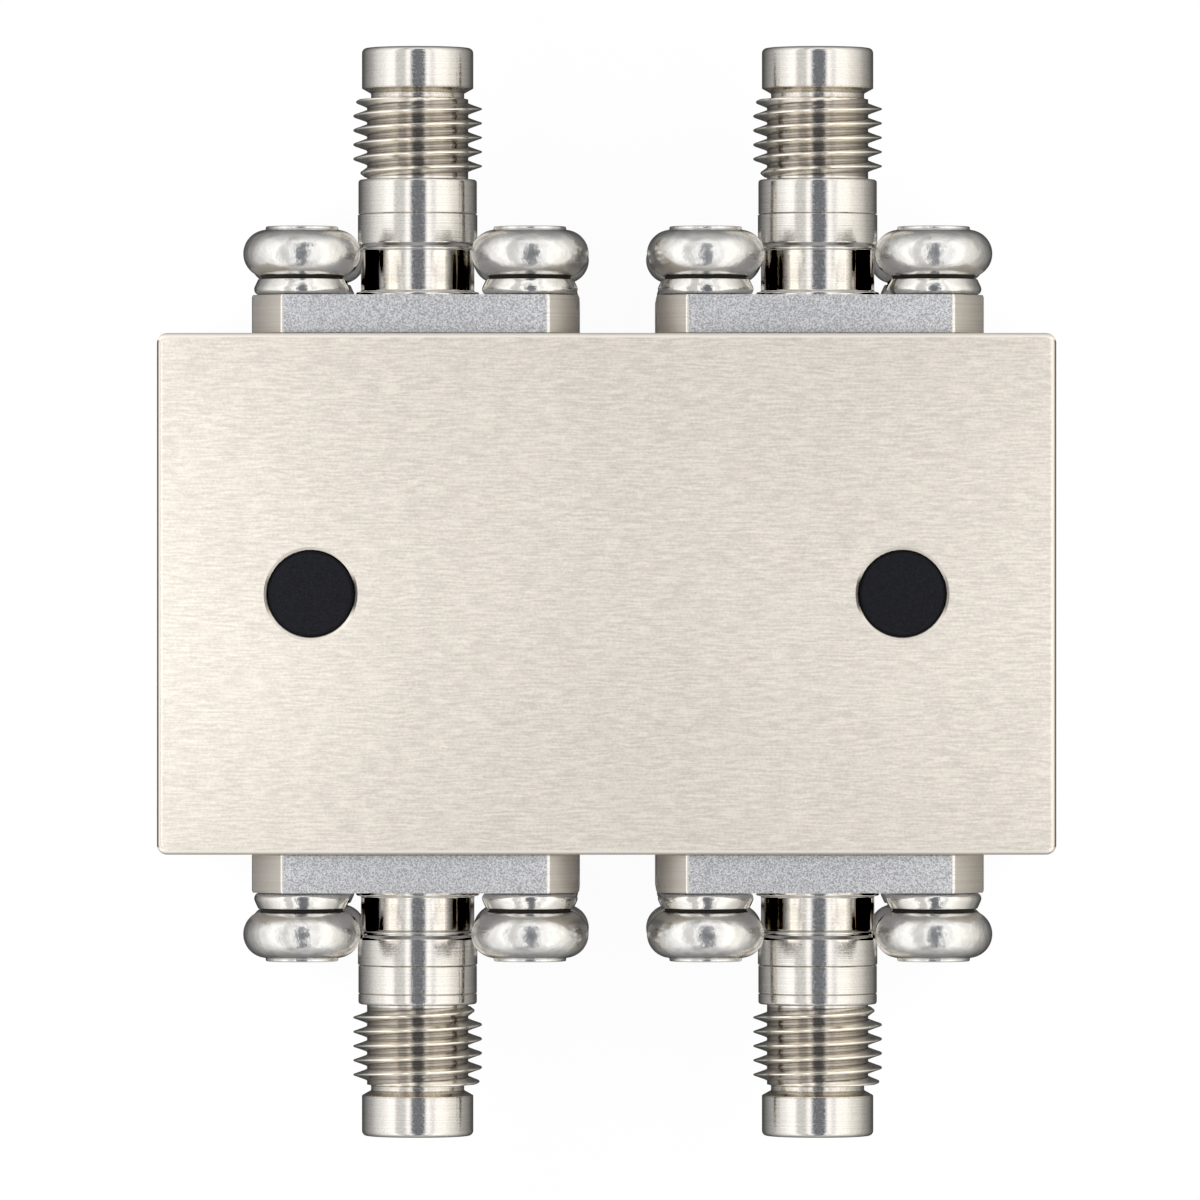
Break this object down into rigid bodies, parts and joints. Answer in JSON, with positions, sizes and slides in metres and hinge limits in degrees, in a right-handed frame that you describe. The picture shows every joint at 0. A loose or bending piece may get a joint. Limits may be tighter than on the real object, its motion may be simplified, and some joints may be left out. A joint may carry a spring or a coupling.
{
  "type": "quadrature hybrid coupler",
  "caption": "Metal block with a threaded coaxial connector on a screwed square flange at each port, joined inside by coupled strips.",
  "frame": {"origin": "middle of the block's back face, which the part lies on", "axes": "+Z out of the front face, +Y towards the upper connectors, +X across them to the right"},
  "size_m": [0.0438, 0.0537, 0.0175],
  "materials": {
    "block_metal": "satin",
    "cover_metal": "satin",
    "connector_steel": "satin",
    "screw_steel": "polished",
    "washer_steel": "polished",
    "cover_screw_steel": "satin",
    "contact_gold": "gloss",
    "strip_copper": "satin",
    "sheet_laminate": "matte",
    "bead_plastic": "satin",
    "line_plastic": "satin",
    "plug_black": "matte"
  },
  "bodies": {
    "root": {"housing": "block_metal", "rear_cover": "cover_metal", "cover_screws": "cover_screw_steel", "left_plug": "plug_black", "right_plug": "plug_black", "front_strip": "strip_copper", "rear_strip": "strip_copper", "front_sheet": "sheet_laminate", "core_sheet": "sheet_laminate", "rear_sheet": "sheet_laminate", "upper_left_shell": "connector_steel", "upper_left_contact": "contact_gold", "upper_left_bead": "bead_plastic", "upper_left_sleeve": "line_plastic", "upper_left_screws": "screw_steel", "upper_left_washers": "washer_steel", "upper_right_shell": "connector_steel", "upper_right_contact": "contact_gold", "upper_right_bead": "bead_plastic", "upper_right_sleeve": "line_plastic", "upper_right_screws": "screw_steel", "upper_right_washers": "washer_steel", "lower_left_shell": "connector_steel", "lower_left_contact": "contact_gold", "lower_left_bead": "bead_plastic", "lower_left_sleeve": "line_plastic", "lower_left_screws": "screw_steel", "lower_left_washers": "washer_steel", "lower_right_shell": "connector_steel", "lower_right_contact": "contact_gold", "lower_right_bead": "bead_plastic", "lower_right_sleeve": "line_plastic", "lower_right_screws": "screw_steel", "lower_right_washers": "washer_steel"}
  },
  "joints": []
}
